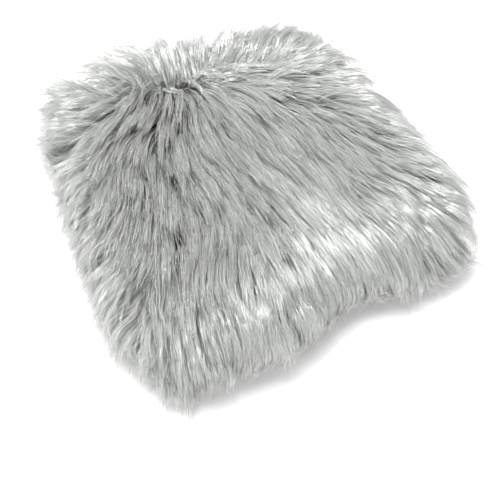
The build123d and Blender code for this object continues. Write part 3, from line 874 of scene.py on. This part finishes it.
knit_cloth = woven_material(
    "knit_backing", tones=((0.16, 0.16, 0.155), (0.30, 0.30, 0.29)),
    directions="XY", pitch=0.0011, depth=0.0005, roughness=0.9,
)
hem_cloth = woven_material(
    "hem_fabric", tones=((0.018, 0.018, 0.020), (0.050, 0.050, 0.054)),
    directions="YZ", pitch=0.0006, depth=0.0002, roughness=0.8,
)
elastic_cloth = woven_material(
    "elastic_band", tones=((0.008, 0.008, 0.008), (0.03, 0.03, 0.03)),
    directions="XZ", pitch=0.0009, depth=0.0003, roughness=0.7,
)
binding_cloth = woven_material(
    "binding_tape", tones=((0.025, 0.025, 0.027), (0.06, 0.06, 0.064)),
    directions="YZ", pitch=0.0007, depth=0.0002, roughness=0.8,
)
label_cloth = woven_material(
    "woven_label", tones=((0.50, 0.50, 0.48), (0.72, 0.72, 0.69)),
    directions="XY", pitch=0.0004, depth=0.0001, roughness=0.5,
)
tape_cloth = woven_material(
    "zip_tape", tones=((0.008, 0.008, 0.009), (0.028, 0.028, 0.030)),
    directions="XZ", pitch=0.0007, depth=0.0003, roughness=0.75,
    turn=-math.atan2(ZIP_AXIS[1], -ZIP_AXIS[0]),
)
thread = woven_material(
    "stitch_thread", tones=((0.05, 0.05, 0.055), (0.13, 0.13, 0.14)),
    directions="XZ", pitch=0.0003, depth=0.0001, roughness=0.5,
)
add_fabrics()


# ---- Hard pieces: the CAD shapes, with softened edges ----
def solid_material(name, tones, roughness, grain, depth):
    """Moulded plastic, rubber or enamel: uneven tone, roughness and a fine surface grain."""
    material, tree, shader = new_material(name)
    vector = mapped(tree)
    tree.links.new(ramp(tree, noise(tree, vector, 0.004), *tones), shader.inputs["Base Color"])
    spread = combine(tree, "MULTIPLY", noise(tree, vector, 0.0025), 0.2)
    tree.links.new(combine(tree, "ADD", spread, roughness - 0.1), shader.inputs["Roughness"])
    bumped(tree, shader, noise(tree, vector, grain), depth)
    return material


def soften(node, material, width):
    """Gives a CAD node its material, and rounds its edges by this width."""
    piece = nodes[node]
    piece.data.materials.clear()
    piece.data.materials.append(material)
    weld = piece.modifiers.new("weld", "WELD")
    weld.merge_threshold = 1e-6
    bevel = piece.modifiers.new("bevel", "BEVEL")
    bevel.width = width
    bevel.segments = 2
    bevel.limit_method = "ANGLE"
    bevel.angle_limit = math.radians(35)
    bevel.harden_normals = True


def add_hard_finishes():
    plastic = solid_material(
        "zip_teeth", tones=((0.012, 0.012, 0.013), (0.026, 0.026, 0.028)),
        roughness=0.35, grain=0.0006, depth=0.00004,
    )
    enamel = solid_material(
        "zip_metal", tones=((0.010, 0.010, 0.011), (0.022, 0.022, 0.024)),
        roughness=0.22, grain=0.0012, depth=0.00005,
    )
    enamel.node_tree.nodes["Principled BSDF"].inputs["Metallic"].default_value = 0.6
    rubber = solid_material(
        "pull_rubber", tones=((0.016, 0.016, 0.016), (0.03, 0.03, 0.03)),
        roughness=0.65, grain=0.0004, depth=0.00008,
    )
    for node in ("zip_teeth_upper", "zip_teeth_lower", "zip_top_stops", "zip_bottom_stop"):
        soften(node, plastic, 0.00022)
    for node in ("slider_body", "slider_bridge", "pull_tab"):
        soften(node, enamel, 0.00025)
    soften("pull_grip", rubber, 0.0003)


add_hard_finishes()

# ---- Studio ----
FLOOR_HALF = 4.0
CAMERA_AZIMUTH = math.radians(-21.5)
CAMERA_ELEVATION = math.radians(55.0)
CAMERA_DISTANCE = 0.804
CAMERA_LENS = 115.7
CAMERA_TARGET = Vector((-0.0072, 0, 0.022))
TARGET_RIGHT = 0.0039
TARGET_DOWN = 0.0297


def add_floor():
    corners = [(x * FLOOR_HALF, y * FLOOR_HALF, 0) for x, y in ((-1, -1), (1, -1), (1, 1), (-1, 1))]
    mesh = bpy.data.meshes.new("floor")
    mesh.from_pydata(corners, [], [(0, 1, 2, 3)])
    floor = bpy.data.objects.new("floor", mesh)
    bpy.context.scene.collection.objects.link(floor)
    material, _, shader = new_material("floor_paper")
    shader.inputs["Base Color"].default_value = (0.93, 0.93, 0.93, 1)
    shader.inputs["Roughness"].default_value = 0.9
    mesh.materials.append(material)


def add_light(name, place, size, power):
    """A square light that faces the middle of the floor."""
    data = bpy.data.lights.new(name, "AREA")
    data.size = size
    data.energy = power
    light = bpy.data.objects.new(name, data)
    light.location = place
    light.rotation_euler = (-Vector(place)).to_track_quat("-Z", "Y").to_euler()
    bpy.context.scene.collection.objects.link(light)


def add_studio():
    add_floor()
    add_light("key", place=(-0.16, 0.04, 1.2), size=0.6, power=16)
    add_light("front", place=(-0.5, -1.2, 0.8), size=1.2, power=8)
    add_light("back", place=(0.3, 1.1, 0.8), size=1.2, power=1.5)
    world = bpy.data.worlds.new("studio")
    world.use_nodes = True
    background = world.node_tree.nodes["Background"]
    background.inputs["Color"].default_value = (1, 1, 1, 1)
    background.inputs["Strength"].default_value = 0.7
    bpy.context.scene.world = world
    bpy.context.scene.view_settings.view_transform = "Standard"


def add_camera():
    flat = math.cos(CAMERA_ELEVATION)
    back = Vector((
        math.sin(CAMERA_AZIMUTH) * flat, -math.cos(CAMERA_AZIMUTH) * flat, math.sin(CAMERA_ELEVATION),
    ))
    right = Vector((math.cos(CAMERA_AZIMUTH), math.sin(CAMERA_AZIMUTH), 0))
    target = CAMERA_TARGET + right * TARGET_RIGHT - back.cross(right) * TARGET_DOWN
    data = bpy.data.cameras.new("camera")
    data.lens = CAMERA_LENS
    camera = bpy.data.objects.new("camera", data)
    camera.location = target + back * CAMERA_DISTANCE
    camera.rotation_euler = (-back).to_track_quat("-Z", "Y").to_euler()
    bpy.context.scene.collection.objects.link(camera)
    bpy.context.scene.camera = camera


add_studio()
add_camera()
